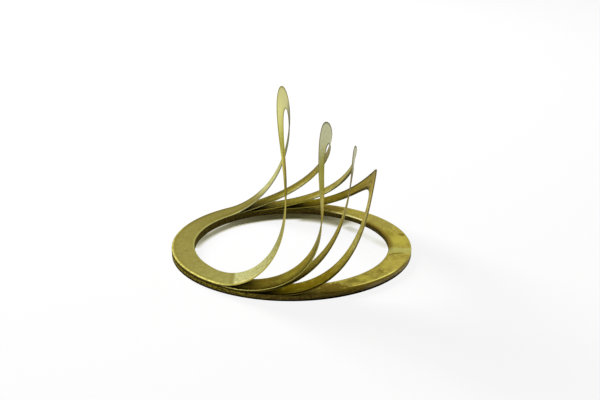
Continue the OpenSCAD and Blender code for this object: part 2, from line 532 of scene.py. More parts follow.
def flat_place(bench):
    """Place on the flat lamination in millimetres, whatever its bend: vector, x, y, height and radius."""
    settings = {"attribute_type": "GEOMETRY", "attribute_name": FLAT}
    stored = bench.add("ShaderNodeAttribute", settings)["Vector"]
    scaled = bench.add("ShaderNodeVectorMath", {"operation": "SCALE"}, {0: stored, "Scale": MM})["Vector"]
    x, y, z = bench.split(scaled)
    radius = (x * x + y * y).sqrt()
    return scaled, x, y, z, radius


def shifted(bench, place, steps, stretch):
    """The place moved by some steps to another part of the noise, and stretched along the foil's grain."""
    location = (steps * NOISE_STEP[0], steps * NOISE_STEP[1], 0.0)
    sockets = {"Vector": place, "Location": location, "Scale": stretch}
    return bench.add("ShaderNodeMapping", None, sockets)["Vector"]


# Tones along each peeled lamination, from 0 at its peel line to 1 at its tip:
# upper side of the front arm and of the back arm, then underside of the front arm and of the back arm
# These tones carry painted light and shade: shade by the peel lines, light on bends, grey tip reflections
LOOP_TONES = (
    (((0.0, "khaki"), (0.099, "khaki"), (0.111, "pale"), (0.3, "pale"), (0.45, "sage"), (0.6, "gold")),
     ((0.0, "khaki"), (0.14, "khaki"), (0.24, "pale"), (0.32, "pale"), (0.45, "sage"), (0.53, "slate")),
     ((0.52, "gold"), (0.62, "gold"), (0.65, "olive"), (0.67, "olive"), (0.71, "gold"), (0.75, "tan"),
      (0.8, "lemon"), (0.84, "lemon"), (0.93, "straw"), (1.0, "pale")),
     ((0.6, "dull"), (0.78, "dull"), (0.87, "pale"), (1.0, "pale"))),
    (((0.0, "shade"), (0.15, "umber"), (0.22, "umber"), (0.3, "olive"), (0.45, "amber"), (0.6, "olive")),
     ((0.08, "shade"), (0.2, "umber"), (0.3, "olive"), (0.4, "amber"), (0.6, "amber"), (0.65, "olive"),
      (0.71, "umber")),
     ((0.58, "glint"), (0.65, "tan"), (0.71, "glint"), (0.77, "moss"), (0.83, "moss"), (0.93, "grey"),
      (1.0, "grey")),
     ((0.7, "dull"), (0.84, "grey"), (1.0, "grey"))),
    (((0.0, "shade"), (0.22, "shade"), (0.3, "umber"), (0.4, "umber"), (0.48, "olive"), (0.6, "amber"),
      (0.8, "tan")),
     ((0.05, "shade"), (0.13, "umber"), (0.25, "olive"), (0.4, "amber"), (0.62, "gold"), (0.8, "sage")),
     ((0.7, "olive"), (0.85, "grey"), (0.9, "steel"), (1.0, "steel")),
     ((0.6, "olive"), (0.78, "dull"), (0.86, "grey"), (0.91, "steel"), (1.0, "steel"))),
    (((0.0, "shade"), (0.14, "umber"), (0.28, "bronze"), (0.42, "bronze"), (0.5, "gold"), (0.62, "bright"),
      (0.78, "honey")),
     ((0.16, "shade"), (0.3, "umber"), (0.42, "bronze"), (0.62, "bronze"), (0.7, "amber"), (0.8, "honey")),
     ((0.0, "shade"), (0.5, "umber"), (1.0, "amber")),
     ((0.0, "shade"), (0.5, "umber"), (1.0, "amber"))),
)
# Where the painted shade of the gap under the next loop ends on each peeled lamination: front arm, then
# back arm; and how far that shade reaches out to the rim of the front arm
GAP_ENDS = (
    ((-1.0, -0.9), (-1.0, -0.9)),
    ((0.06, 0.17), (0.04, 0.16)),
    ((0.1, 0.28), (0.0, 0.14)),
    ((-0.05, 0.12), (0.14, 0.3)),
)
GAP_RIM = (1.0, 0.25, 0.8, 0.4)
# Laminations whose cut edges are lighter or cracked dark at the front left, or darkened by painted shadow
# at the front; then how much darker each cut edge is made at the foot of the pack all round, and at the
# front right
LIGHT_EDGES = (5, 6, 7, 8)
CRACK_EDGES = (3, 4)
DARK_EDGES = (2, 3)
FOOT_DARKENING = {9: 0.2, 10: 0.7, 11: 1.0}
RIGHT_FOOT_DARKENING = {7: 0.1, 8: 0.3, 9: 0.6, 10: 1.0, 11: 1.0}
# How far along each loop its edges start to show dark, how strongly, and their tone on the underside
OUTLINE_FROM = (0.34, 0.1, 0.1, 0.05)
OUTLINE_SHARE = (0.4, 0.95, 0.7, 0.9)
OUTLINE_TONES = ("olive", "slate", "slate", "umber")
# How mottled the underside of each loop's tip is
MOTTLED_TIPS = (0.1, 0.35, 0.3, 0.2)
# How much of the tone of its face the cut edge of each loop takes
LIFTED_EDGES = (0.95, 0.3, 0.3, 0.3)
# Tones along the edges of the arms of each loop: arm, tone, where across the arm it starts and is full,
# where along the loop it starts, is full, fades and ends, and its strength
# The sparkle and bright bands among them are painted highlights along the loops' edges
ARM_EDGES = (
    (("back", "khaki_dark", (-0.5, -0.2), (-0.25, -0.05, 0.15, 0.21), 0.6),
     ("back", "umber", (0.4, 0.05), (-0.1, 0.02, 0.2, 0.26), 0.8),
     ("back", "umber", (0.65, 0.9), (-0.3, -0.1, 0.18, 0.26), 0.85),
     ("front", "sparkle", (0.8, 0.92), (0.105, 0.125, 0.2, 0.25), 0.9)),
    (("front", "shade", (0.5, 1.0), (0.02, 0.1, 0.6, 0.7), 0.5),
     ("front", "shade", (0.68, 0.9), (0.25, 0.33, 0.48, 0.56), 0.8),
     ("front", "umber", (0.2, 0.0), (0.36, 0.4, 0.48, 0.52), 0.8),
     ("back", "umber", (0.35, 0.75), (0.1, 0.2, 0.6, 0.7), 0.95),
     ("back", "bright", (0.5, 0.2), (0.25, 0.32, 0.5, 0.6), 0.7),
     ("back", "sparkle", (0.28, 0.08), (0.29, 0.35, 0.47, 0.54), 0.9),
     ("back", "shade", (0.7, 0.88), (0.22, 0.28, 0.44, 0.5), 0.8)),
    (("front", "shade", (0.6, 1.0), (0.02, 0.1, 0.3, 0.5), 0.4),
     ("back", "umber", (0.55, 1.0), (0.1, 0.2, 0.7, 0.8), 0.4),
     ("back", "straw", (0.4, 0.05), (0.32, 0.42, 0.6, 0.72), 0.85),
     ("back", "sparkle", (0.2, 0.04), (0.38, 0.43, 0.49, 0.55), 0.9),
     ("back", "shade", (0.2, 0.06), (0.5, 0.58, 0.76, 0.82), 0.9),
     ("back", "shade", (0.75, 0.92), (0.13, 0.2, 0.42, 0.5), 0.7)),
    (("front", "shade", (0.5, 1.0), (0.02, 0.1, 0.55, 0.65), 0.5),
     ("front", "straw", (0.12, 0.4), (0.55, 0.66, 0.86, 0.94), 0.6),
     ("back", "olive", (0.5, 0.1), (0.34, 0.42, 0.6, 0.66), 0.8),
     ("back", "umber", (0.5, 0.9), (0.42, 0.48, 0.62, 0.68), 0.6),
     ("back", "shade", (0.66, 0.88), (0.58, 0.66, 0.9, 1.0), 0.92),
     ("back", "honey", (0.55, 0.3), (0.56, 0.66, 0.95, 1.0), 0.9),
     ("back", "shade", (0.22, 0.1), (0.55, 0.66, 0.85, 0.9), 0.95)),
)
# Dark borders of the arms that are seen at a glancing angle: arm, where across it starts and is full,
# where along the loop it starts, is full, fades and ends, and its strength
DARK_BORDERS = (
    (),
    (),
    (("back", (0.3, 0.1), (0.57, 0.66, 0.78, 0.84), 0.75),
     ("back", (0.72, 0.9), (0.45, 0.55, 0.75, 0.8), 0.35)),
    (("back", (0.68, 0.88), (0.45, 0.53, 0.86, 0.94), 0.6),
     ("back", (0.2, 0.05), (0.5, 0.6, 0.82, 0.86), 0.5)),
)
# Where along X, in millimetres, the bright cut edge inside the back arm of each loop fades
LIT_EDGE_ENDS = ((20.0, 21.0), (20.0, 21.0), (4.0, 5.4), (5.4, 6.8))
# Marks on the uncovered lamination in millimetres: place, half size along the radius and round the ring,
# tone and strength; then how ragged their edges are and where they fade, in half sizes
MARKS = (
    ((10.2, 6.2), 1.6, 2.2, "khaki", 0.4),
    ((10.5, -5.6), 1.3, 1.9, "tan", 0.35),
    ((11.6, 0.9), 1.0, 1.9, "bright", 0.6),
    ((11.97, 2.34), 0.45, 0.5, "tarnish", 0.75),
    ((10.75, 2.6), 0.5, 0.9, "olive", 0.6),
    ((8.76, -7.18), 0.45, 0.5, "tarnish", 0.6),
    ((9.3, -6.2), 0.4, 0.5, "bright", 0.6),
    ((6.99, -8.79), 0.4, 0.9, "bright", 0.95),
    ((7.6, -9.4), 0.5, 0.5, "bright", 0.6),
    ((5.9, -9.4), 0.5, 0.7, "umber", 0.6),
    ((5.73, -10.9), 0.5, 0.8, "tarnish", 0.85),
    ((3.73, -10.99), 1.2, 1.7, "tarnish", 0.85),
    ((4.9, 10.6), 1.1, 1.9, "tarnish", 0.85),
)
MARK_WARP = 2.2
MARK_FADE = (0.55, 1.1)
# Scratch on the uncovered lamination in millimetres: its ends, half widths where it is full and gone,
# and how soft its ends are
SCRATCH = ((10.16, -3.10), (11.38, -2.67))
SCRATCH_WIDTH = (0.048, 0.12)
SCRATCH_SOFT = 0.1
# Noises laid on the flat foil: step for each lamination and first step, stretch along X, Y and Z,
# then scale, detail and roughness
EVEN = (1.0, 1.0, 1.0)
THROUGH = (1.0, 1.0, 0.0)
NOISES = {
    "speckle": (1.0, 0.0, EVEN, 5.5, 4.0, 0.65),
    "streak": (1.0, 0.0, (0.7, 9.0, 1.0), 1.0, 3.0, 0.6),
    "patch": (1.0, 0.0, THROUGH, 0.9, 4.0, 0.6),
    "fine": (1.0, 0.0, THROUGH, 2.6, 4.0, 0.6),
    "stain": (1.0, 0.5, THROUGH, 1.5, 3.0, 0.6),
    "smear": (0.02, 0.0, THROUGH, 1.3, 4.0, 0.65),
    "grit": (1.0, 0.0, EVEN, 3.2, 4.0, 0.65),
}
NOISE_MEAN = 0.5
SPECKLE_BAND = (0.38, 0.66)
# Fine lines round the ring: steps of their noise round it, out along it and from one lamination to the next
LINE_STEPS = (2.2, 5.0, 3.7)
LINE_NOISE = (1.0, 3.0, 0.6)
# Marks that a noise lays on the foil: noise, the part of it that shows and its band, tone,
# strength everywhere, and strength that is added in one place
TOP_LOOP_MARKS = (
    ("fine", "low", (0.36, 0.5), "umber", 0.0, 0.45),
    ("lines", "low", (0.36, 0.48), "umber", 0.0, 0.1),
    ("lines", "high", (0.54, 0.68), "bright", 0.0, 0.07),
)
LOOP_MARKS = (
    ("fine", "low", (0.36, 0.5), "umber", 0.0, 0.45),
    ("lines", "low", (0.36, 0.48), "umber", 0.0, 0.6),
    ("lines", "high", (0.54, 0.68), "bright", 0.0, 0.42),
    ("stain", "low", (0.42, 0.52), "bronze", 0.0, 0.35),
    ("stain", "high", (0.52, 0.62), "bright", 0.0, 0.25),
)
UNCOVERED_MARKS = (
    ("patch", "low", (0.4, 0.52), "tarnish", 0.2, 0.15),
    ("patch", "high", (0.54, 0.64), "bright", 0.15, 0.4),
    ("fine", "low", (0.36, 0.5), "umber", 0.35, 0.0),
    ("fine", "high", (0.54, 0.66), "bright", 0.25, 0.0),
)
# Where one arm of a loop turns into the other along Y, for its tones and for its gaps, and one face into
# the other through the foil, in millimetres
ARMS_MEET = (-3.0, 3.0)
GAPS_MEET = (-1.0, 1.0)
FACES_MEET = (-0.01, 0.01)
# How far the tones waver along a loop, where that starts, and where the raised part's marks start
TONE_WAVER = 0.04
WAVER_STARTS = (0.1, 0.2)
RAISED = (0.02, 0.1)
SPECKLE_SHARE = 0.25
# Fine lines, mottle and border on the undersides: bands of the noise, bands across and along, strengths
UNDER_LINES = ((0.52, 0.64), (0.75, 0.85), 0.2)
UNDER_MOTTLE = ((0.42, 0.64), (0.84, 0.9))
UNDER_BORDER = ((0.89, 0.97), (0.03, 0.1), (0.78, 0.86), 0.9)
# Outline of a loop: bands at its rim and at its bore with the strength there, how gradually it starts,
# its even and its noisy part, and its part on both faces and on the upper face alone
OUTLINE_RIM = (0.87, 0.95)
OUTLINE_BORE = (0.02, 0.06)
OUTLINE_BORE_SHARE = 0.35
OUTLINE_START = 0.1
OUTLINE_NOISE = (0.45, 0.7)
OUTLINE_FACES = (0.2, 0.8)
# Painted shade of the gaps: where across the arm it weakens, its strength, and how much the lit inner
# edge takes off
GAP_ACROSS = (0.5, 0.8)
GAP_SHARE = 0.9
GAP_LIT = 0.7
# Lit inner edge of the back arms: band across the arm, where along the loop it starts and ends, strength
LIT_BORE = (0.03, 0.12)
LIT_ALONG = ((-0.2, -0.1), (0.3, 0.4))
LIT_SHARE = 0.8
# Top lamination in millimetres, degrees and shares: its bonded part along X; the painted sheen at its
# front; its patches; its flecks and their sector; the painted highlight on the lip of its bore; the painted
# shade on its back rim; its left rim with a darker line and a painted glint
TOP_BONDED = (-6.2, -5.6)
TOP_SHEEN = ((-11.0, -5.0), 0.4)
TOP_PATCHES = ((0.48, 0.62), 0.3)
TOP_FLECKS = ((0.56, 0.66), (178.0, 25.0, 40.0), 0.6)
TOP_LIP = ((10.36, 10.5), 0.7)
BACK_RIM = ((12.42, 12.56), (140.0, 30.0, 12.0), (0.4, 0.8))
LEFT_RIM = ((-152.0, 40.0, 18.0), (-7.0, -6.0))
LEFT_RIM_LINE = ((12.2, 12.32), (12.38, 12.48), 0.5)
RIM_GLINT = ((12.47, 12.58), (0.3, 0.6))
# Uncovered lamination: its dulling by speckle and by lines; the stained sector; the pale band and its corner;
# where the scratch breaks up; the painted shade and the painted sparkle on the lip of the bore
DULLING = (0.3, (0.36, 0.5), 0.25)
STAINED = (-55.0, 40.0, 20.0)
PALE_BAND = ((-9.8, 2.4, 1.2), 0.65)
PALE_CORNER = ((-12.8, 2.4, 1.2), (10.45, 11.1), 0.6)
SCRATCH_BREAKS = (0.3, 0.45)
SHADED_LIP = ((10.45, 10.95), (22.0, 24.0, 14.0), 0.85)
SPARKLING_LIP = ((10.58, 10.7), (50.0, 10.0, 5.0))
# Painted highlight along the rolled rim at the front right: its radius at one place along X, how it moves
# outwards and how far, its half width and sector; then the painted brown and dark shade of the roll outside
# it; then even and noisy parts
RIM_LINE_RADIUS = 12.06
RIM_LINE_FROM = 5.8
RIM_LINE_DRIFT = 0.09
RIM_LINE_RUN = 4.5
RIM_LINE = ((0.05, 0.12), (-48.0, 9.0, 8.0), (0.6, 0.8))
RIGHT_RIM = (-50.0, 22.0, 10.0)
RIM_BROWN = ((0.08, 0.16), (0.6, 0.6))
RIM_DARK = ((12.4, 12.68), 0.6)
# Cut edges: the outside of the ring across it; light smears and grit; sectors of painted reflection, left
# and right sectors; darkening of the foot at the bore and what the outside adds; light grit, dark grit and
# crack on the left; painted shadow at the front
OUTSIDE = (0.4, 0.6)
EDGE_SMEAR = ((0.44, 0.64), 0.45)
EDGE_GRIT = ((0.46, 0.64), 0.55)
EDGE_REFLECTION_SECTORS = (((-15.0, 16.0, 8.0), 0.58), ((-42.0, 9.0, 8.0), 0.4))
LEFT_WALL = (-145.0, 30.0, 15.0)
RIGHT_WALL = (-58.0, 24.0, 12.0)
FOOT_SHARE = (0.35, 0.65)
LIGHT_GRIT = ((0.42, 0.56), 0.9)
DARK_GRIT = ((0.38, 0.47), 0.75)
CRACK = ((0.35, 0.5), 0.8)
FRONT_SHADOW = ((-98.0, 13.0, 5.0), 0.75)
# Finish: width of the cut edge in millimetres; how far past its peel line a cut edge is lifted; its bright
# part on the back arms; roughness; bump of the grain; how much less metallic a cut edge is; tint of
# glancing reflections, and that of single laminations
CUT_EDGE = (0.012, 0.035)
LIFT_LENGTH = 2.0
LIT_EDGE = ((0.4, 0.6), (0.0, 3.0), 0.85)
ROUGHNESS = 0.36
SPECKLE_ROUGHNESS = 0.1
STREAK_ROUGHNESS = 0.08
EDGE_ROUGHNESS = 0.25
GRAIN_STRENGTH = 0.25
GRAIN_DEPTH = 0.000004
GRAIN_STREAKS = 0.6
GRAIN_SPECKLES = 0.4
EDGE_DULLNESS = 0.15
GLANCE_TINT = (0.78, 0.75, 0.5)
GLANCE_TINTS = {3: (0.84, 0.8, 0.5), 4: (0.82, 0.745, 0.42)}


def ramp(bench, along, stops, colours):
    """Colour along a loop from named tones."""
    shades = [(place, getattr(colours, name)) for place, name in stops]
    return bench.add("ShaderNodeValToRGB", {"stops": shades}, {"Fac": along})["Color"]


def sector(x, y, radius, centre, half, soft):
    """1 in a sector of the ring round an angle in degrees, 0 beyond it, with soft ends."""
    turn = math.radians(centre)
    facing = (x * math.cos(turn) + y * math.sin(turn)) / radius
    return facing.rise(math.cos(math.radians(half + soft)), math.cos(math.radians(half)))


def blot(x, y, mark, warp):
    """Share of an oval mark with a ragged edge."""
    (mark_x, mark_y), along_radius, around, _, strength = mark
    turn = math.atan2(mark_y, mark_x)
    cosine, sine = math.cos(turn), math.sin(turn)
    out = (x - mark_x) * (cosine / along_radius) + (y - mark_y) * (sine / along_radius)
    side = (y - mark_y) * (cosine / around) - (x - mark_x) * (sine / around)
    reach = (out * out + side * side).sqrt() + (warp - NOISE_MEAN) * MARK_WARP
    return reach.fall(*MARK_FADE) * strength


def scratch_line(x, y):
    """Share of the thin straight scratch."""
    (ax, ay), (bx, by) = SCRATCH
    run = math.hypot(bx - ax, by - ay)
    ux, uy = (bx - ax) / run, (by - ay) / run
    along = (x - ax) * ux + (y - ay) * uy
    aside = abs((y - ay) * ux - (x - ax) * uy)
    ends = along.rise(-SCRATCH_SOFT, SCRATCH_SOFT) * along.fall(run - SCRATCH_SOFT, run + SCRATCH_SOFT)
    return aside.fall(*SCRATCH_WIDTH) * ends


def foil_noises(bench, number, place, x, y, radius):
    """The noises of one lamination by their names."""
    noises = {}
    for name, (step, first, stretch, *grain) in NOISES.items():
        noises[name] = bench.noise(shifted(bench, place, number * step + first, stretch), *grain)
    noises["speckle"] = noises["speckle"].rise(*SPECKLE_BAND)
    turn, out, layer = LINE_STEPS
    round_ring = bench.vector(y.calc("ARCTAN2", y, x) * turn, radius * out, number * layer)
    noises["lines"] = bench.noise(round_ring, *LINE_NOISE)
    return noises


def marked(bench, skin, colours, noises, marks, where):
    """The skin with the marks of a table laid on it; where is the share of the place that adds strength."""
    for noise, part, band, tone, even, added in marks:
        shown = noises[noise].rise(*band) if part == "high" else noises[noise].fall(*band)
        skin = bench.blend(skin, getattr(colours, tone), shown * (where * added + even))
    return skin


def arm_share(across, along, behind, arm, band, reach):
    """Share of a tone in a band across one arm of a loop, between two places along it."""
    near, full = band
    start, whole, fade, stop = reach
    share = across.rise(near, full) if full > near else across.fall(full, near)
    share = share * along.rise(start, whole) * along.fall(fade, stop)
    return share * (behind if arm == "back" else 1.0 - behind)


def loop_place(number, x, y, patch):
    """How far along its loop a place on the flat lamination is: 0 at the peel line, 1 at the tip."""
    loops = bpy.context.scene.shim_loops
    rim = bpy.context.scene.shim_sizes.rim_radius * MM
    peel = loops.peel[number - 1] * MM
    slant = loops.slant_start[number - 1]
    straight = ((x - peel) * math.cos(slant) - y * math.sin(slant)) / (rim - peel)
    return straight + (patch - NOISE_MEAN) * TONE_WAVER * straight.rise(*WAVER_STARTS)


def loop_upper(bench, number, colours, across, along, behind, noises):
    """Colour of a loop's upper side: tones along it and its edges, small marks and a lit inner edge."""
    front, back, _, _ = LOOP_TONES[number - 1]
    face = bench.blend(ramp(bench, along, front, colours), ramp(bench, along, back, colours), behind)
    for arm, tone, band, reach, strength in ARM_EDGES[number - 1]:
        share = arm_share(across, along, behind, arm, band, reach)
        face = bench.blend(face, getattr(colours, tone), share * strength)
    face = bench.blend(face, colours.khaki_dark, noises["speckle"] * SPECKLE_SHARE)
    marks = TOP_LOOP_MARKS if number == 1 else LOOP_MARKS
    face = marked(bench, face, colours, noises, marks, along.rise(*RAISED))
    start, end = LIT_ALONG
    lit = across.fall(*LIT_BORE) * behind * along.rise(*start) * along.fall(*end)
    return bench.blend(face, colours.gold, lit * LIT_SHARE)


def loop_under(bench, number, colours, across, along, behind, noises):
    """Colour of a loop's underside: tones along it, fine lines, a mottled tip and a darker border."""
    _, _, front, back = LOOP_TONES[number - 1]
    under = bench.blend(ramp(bench, along, front, colours), ramp(bench, along, back, colours), behind)
    band, end, strength = UNDER_LINES
    under = bench.blend(under, colours.olive, noises["lines"].rise(*band) * along.fall(*end) * strength)
    band, start = UNDER_MOTTLE
    mottle = noises["fine"].rise(*band) * along.rise(*start) * MOTTLED_TIPS[number - 1]
    under = bench.blend(under, colours.dull, mottle)
    rim, bore, start, strength = UNDER_BORDER
    border = across.rise(*rim).most(across.fall(*bore)) * along.rise(*start) * strength
    return bench.blend(under, getattr(colours, OUTLINE_TONES[number - 1]), border)


def loop_grime_and_shade(number, y, across, along, behind, upper, fine):
    """Near-black share of a loop: dark outlines, and painted shade in the gap under the next loop."""
    which = number - 1
    even, noisy = OUTLINE_NOISE
    shown = along.rise(OUTLINE_FROM[which], OUTLINE_FROM[which] + OUTLINE_START) * (even + fine * noisy)
    outline = across.rise(*OUTLINE_RIM).most(across.fall(*OUTLINE_BORE) * OUTLINE_BORE_SHARE)
    both, above = OUTLINE_FACES
    outline = outline * shown * (both + upper * above) * OUTLINE_SHARE[which]
    for arm, band, reach, strength in DARK_BORDERS[which]:
        border = arm_share(across, along, behind, arm, band, reach)
        outline = outline.most(border * upper * strength)
    front_gap, back_gap = (along.fall(*ends) for ends in GAP_ENDS[which])
    front_gap = front_gap * (1.0 - across.rise(*GAP_ACROSS) * (1.0 - GAP_RIM[which]))
    gap = front_gap + (back_gap - front_gap) * y.rise(*GAPS_MEET)
    lit = across.fall(*LIT_BORE) * behind
    return (gap * upper * (GAP_SHARE - lit * GAP_LIT)).most(outline)


def peeled_skin(bench, number, colours, spot, noises):
    """Colour of a peeled lamination, by tones along the loop for each arm and side, and its dark share."""
    x, y, z, _, across = spot
    along = loop_place(number, x, y, noises["patch"])
    behind = y.rise(*ARMS_MEET)
    upper = z.rise(*FACES_MEET)
    face = loop_upper(bench, number, colours, across, along, behind, noises)
    under = loop_under(bench, number, colours, across, along, behind, noises)
    grime_and_shade = loop_grime_and_shade(number, y, across, along, behind, upper, noises["fine"])
    return bench.blend(under, face, upper), grime_and_shade


def top_details(bench, skin, colours, spot, noises):
    """Flecks of the matte top; painted sheen, highlights at bore and left rim, and shade at the back rim."""
    x, y, _, radius, _ = spot
    fine = noises["fine"]
    bonded = x.fall(*TOP_BONDED)
    # Painted sheen on the front of the bonded part
    band, strength = TOP_SHEEN
    skin = bench.blend(skin, colours.sage, y.fall(*band) * bonded * strength)
    band, strength = TOP_PATCHES
    skin = bench.blend(skin, colours.khaki_dark, noises["patch"].rise(*band) * bonded * strength)
    band, part, strength = TOP_FLECKS
    flecks = fine.rise(*band) * sector(x, y, radius, *part)
    skin = bench.blend(skin, colours.fleck, flecks * bonded * strength)
    # Painted highlight on the lip of the bore
    band, strength = TOP_LIP
    skin = bench.blend(skin, colours.sage, radius.fall(*band) * bonded * strength)
    # Painted shade on the back rim
    band, part, (even, noisy) = BACK_RIM
    back_rim = sector(x, y, radius, *part) * bonded
    skin = bench.blend(skin, colours.umber, radius.rise(*band) * back_rim * (even + fine * noisy))
    part, end = LEFT_RIM
    left_rim = sector(x, y, radius, *part) * x.fall(*end)
    near, far, strength = LEFT_RIM_LINE
    inner_dark_line = radius.rise(*near) * radius.fall(*far) * left_rim
    skin = bench.blend(skin, colours.olive, inner_dark_line * strength)
    # Painted glint along the left rim
    band, gaps = RIM_GLINT
    return bench.blend(skin, colours.glint, radius.rise(*band) * left_rim * fine.rise(*gaps))


def rolled_rim(bench, face, colours, spot, fine):
    """Painted shade on the rolled rim at the front right, brown then dark, and a painted highlight on it."""
    x, y, _, radius, _ = spot
    drift = (x - RIM_LINE_FROM).clamp_to(0.0, RIM_LINE_RUN) * RIM_LINE_DRIFT
    outside = radius - drift - RIM_LINE_RADIUS
    right_rim = sector(x, y, radius, *RIGHT_RIM)
    # Painted shade of the roll outside the highlight, brown then dark
    band, (even, noisy) = RIM_BROWN
    face = bench.blend(face, colours.umber, outside.rise(*band) * right_rim * (even + fine * noisy))
    band, strength = RIM_DARK
    face = bench.blend(face, colours.shade, radius.rise(*band) * right_rim * strength)
    # Painted highlight line along the rolled rim
    band, part, (even, noisy) = RIM_LINE
    line = abs(outside).fall(*band) * sector(x, y, radius, *part)
    return bench.blend(face, colours.glint, line * (even + fine * noisy))


def uncovered_skin(bench, colours, spot, noises):
    """Colour of the uncovered lamination and those below it: gold with tarnish, bright patches and marks."""
    x, y, z, radius, _ = spot
    fine = noises["fine"]
    speckled, band, lined = DULLING
    dulled = noises["speckle"] * speckled + noises["lines"].fall(*band) * lined
    face = bench.blend(colours.gold, colours.olive, dulled)
    face = marked(bench, face, colours, noises, UNCOVERED_MARKS, sector(x, y, radius, *STAINED))
    for mark in MARKS:
        face = bench.blend(face, getattr(colours, mark[3]), blot(x, y, mark, fine))
    part, strength = PALE_BAND
    face = bench.blend(face, colours.sage, sector(x, y, radius, *part) * strength)
    part, band, strength = PALE_CORNER
    face = bench.blend(face, colours.sage, sector(x, y, radius, *part) * radius.fall(*band) * strength)
    scratch = scratch_line(x, y) * noises["streak"].rise(*SCRATCH_BREAKS)
    face = bench.blend(face, colours.umber, scratch)
    # Painted shade on the rolled lip of the bore in this sector
    band, part, strength = SHADED_LIP
    face = bench.blend(face, colours.tarnish, radius.fall(*band) * sector(x, y, radius, *part) * strength)
    # Painted highlight on the lip of the bore
    band, part = SPARKLING_LIP
    face = bench.blend(face, colours.sparkle, radius.fall(*band) * sector(x, y, radius, *part))
    face = rolled_rim(bench, face, colours, spot, fine)
    return bench.blend(colours.umber, face, z.rise(*FACES_MEET))


def wall_skin(bench, number, colours, spot, noises):
    """Colour of the cut edge, brown and mottled, and its dark share: most at the foot and in a crack."""
    x, y, _, radius, across = spot
    smear, grit = noises["smear"], noises["grit"]
    (smear_band, smear_share), (grit_band, grit_share) = EDGE_SMEAR, EDGE_GRIT
    light = smear.rise(*smear_band) * smear_share + grit.rise(*grit_band) * grit_share
    wall = bench.blend(colours.edge, colours.edge_light, light.clamp())
    outside = across.rise(*OUTSIDE)
    left = sector(x, y, radius, *LEFT_WALL) * outside
    right = sector(x, y, radius, *RIGHT_WALL) * outside
    # Painted reflection that lightens the cut edge in these sectors
    for part, strength in EDGE_REFLECTION_SECTORS:
        wall = bench.blend(wall, colours.sandy, sector(x, y, radius, *part) * outside * strength)
    # Darker towards the foot of the pack, at the front right and all round
    grime_and_shade = right * RIGHT_FOOT_DARKENING.get(number, 0.0)
    inside, added = FOOT_SHARE
    grime_and_shade = grime_and_shade.most((inside + outside * added) * FOOT_DARKENING.get(number, 0.0))
    if number in LIGHT_EDGES:
        band, strength = LIGHT_GRIT
        wall = bench.blend(wall, colours.olive, left * grit.rise(*band) * strength)
        band, strength = DARK_GRIT
        grime_and_shade = grime_and_shade.most(left * grit.fall(*band) * strength)
    if number in CRACK_EDGES:
        band, strength = CRACK
        grime_and_shade = left * smear.rise(*band) * strength
    # Painted shadow at the front on these cut edges
    if number in DARK_EDGES:
        part, strength = FRONT_SHADOW
        grime_and_shade = grime_and_shade.most(sector(x, y, radius, *part) * outside * strength)
    return wall, grime_and_shade


def lifted_edge(bench, number, colours, spot, wall, cut_edge):
    """Cut edge of a peeled lamination: past the peel line it fades into the face, bright at the bore."""
    x, y, _, _, across = spot
    peel = bpy.context.scene.shim_loops.peel[number - 1] * MM
    lifted = x.rise(peel, peel + LIFT_LENGTH)
    band, behind, strength = LIT_EDGE
    lit = across.fall(*band) * y.rise(*behind) * x.fall(*LIT_EDGE_ENDS[number - 1])
    wall = bench.blend(wall, colours.bright, lit * lifted * strength)
    return wall, cut_edge * (1.0 - lifted * LIFTED_EDGES[number - 1])


def foil_finish(number):
    """Brass of one lamination: grain, tarnish, painted light and shade, and dark cut edges, on the flat foil.
    """
    sizes = bpy.context.scene.shim_sizes
    colours = bpy.context.scene.shim_colours
    material = bpy.data.materials.new(f"foil_{number}")
    material.use_nodes = True
    material.node_tree.nodes.clear()
    bench = Bench(material.node_tree)
    place, x, y, z, radius = flat_place(bench)
    rim = sizes.rim_radius * MM
    bore = sizes.bore_radius * MM
    spot = (x, y, z, radius, (radius - bore) / (rim - bore))
    noises = foil_noises(bench, number, place, x, y, radius)
    speckle, streak = noises["speckle"], noises["streak"]
    cut_edge = (rim - radius).least(radius - bore).fall(*CUT_EDGE)
    wall, wall_grime_and_shade = wall_skin(bench, number, colours, spot, noises)
    if number <= PEELED:
        skin, grime_and_shade = peeled_skin(bench, number, colours, spot, noises)
        wall, cut_edge = lifted_edge(bench, number, colours, spot, wall, cut_edge)
    else:
        skin, grime_and_shade = uncovered_skin(bench, colours, spot, noises), 0.0
    if number == 1:
        skin = top_details(bench, skin, colours, spot, noises)
    skin = bench.blend(skin, wall, cut_edge)
    # Near-black share: dark grit, a crack, outlines and the foot, with painted shade in the gaps and at the
    # front
    grime_and_shade_share = wall_grime_and_shade * cut_edge + (1.0 - cut_edge) * grime_and_shade
    rough = ROUGHNESS + speckle * SPECKLE_ROUGHNESS + streak * STREAK_ROUGHNESS + cut_edge * EDGE_ROUGHNESS
    grain = bench.add("ShaderNodeBump", None, {
        "Strength": GRAIN_STRENGTH,
        "Distance": GRAIN_DEPTH,
        "Height": streak * GRAIN_STREAKS + speckle * GRAIN_SPECKLES})["Normal"]
    shader = bench.add("ShaderNodeBsdfPrincipled", None, {
        "Base Color": skin,
        "Metallic": 1.0 - cut_edge * EDGE_DULLNESS,
        "Roughness": rough,
        "Specular Tint": GLANCE_TINTS.get(number, GLANCE_TINT),
        "Normal": grain})["BSDF"]
    # Near-black diffuse shader for that share: dark grit and edges, and painted shade alike
    grime_and_shade_shader = bench.add("ShaderNodeBsdfDiffuse", None, {"Color": colours.black})["BSDF"]
    both = bench.add("ShaderNodeMixShader", None, {0: grime_and_shade_share, 1: shader, 2: grime_and_shade_shader})["Shader"]
    bench.add("ShaderNodeOutputMaterial", None, {"Surface": both})
    return material


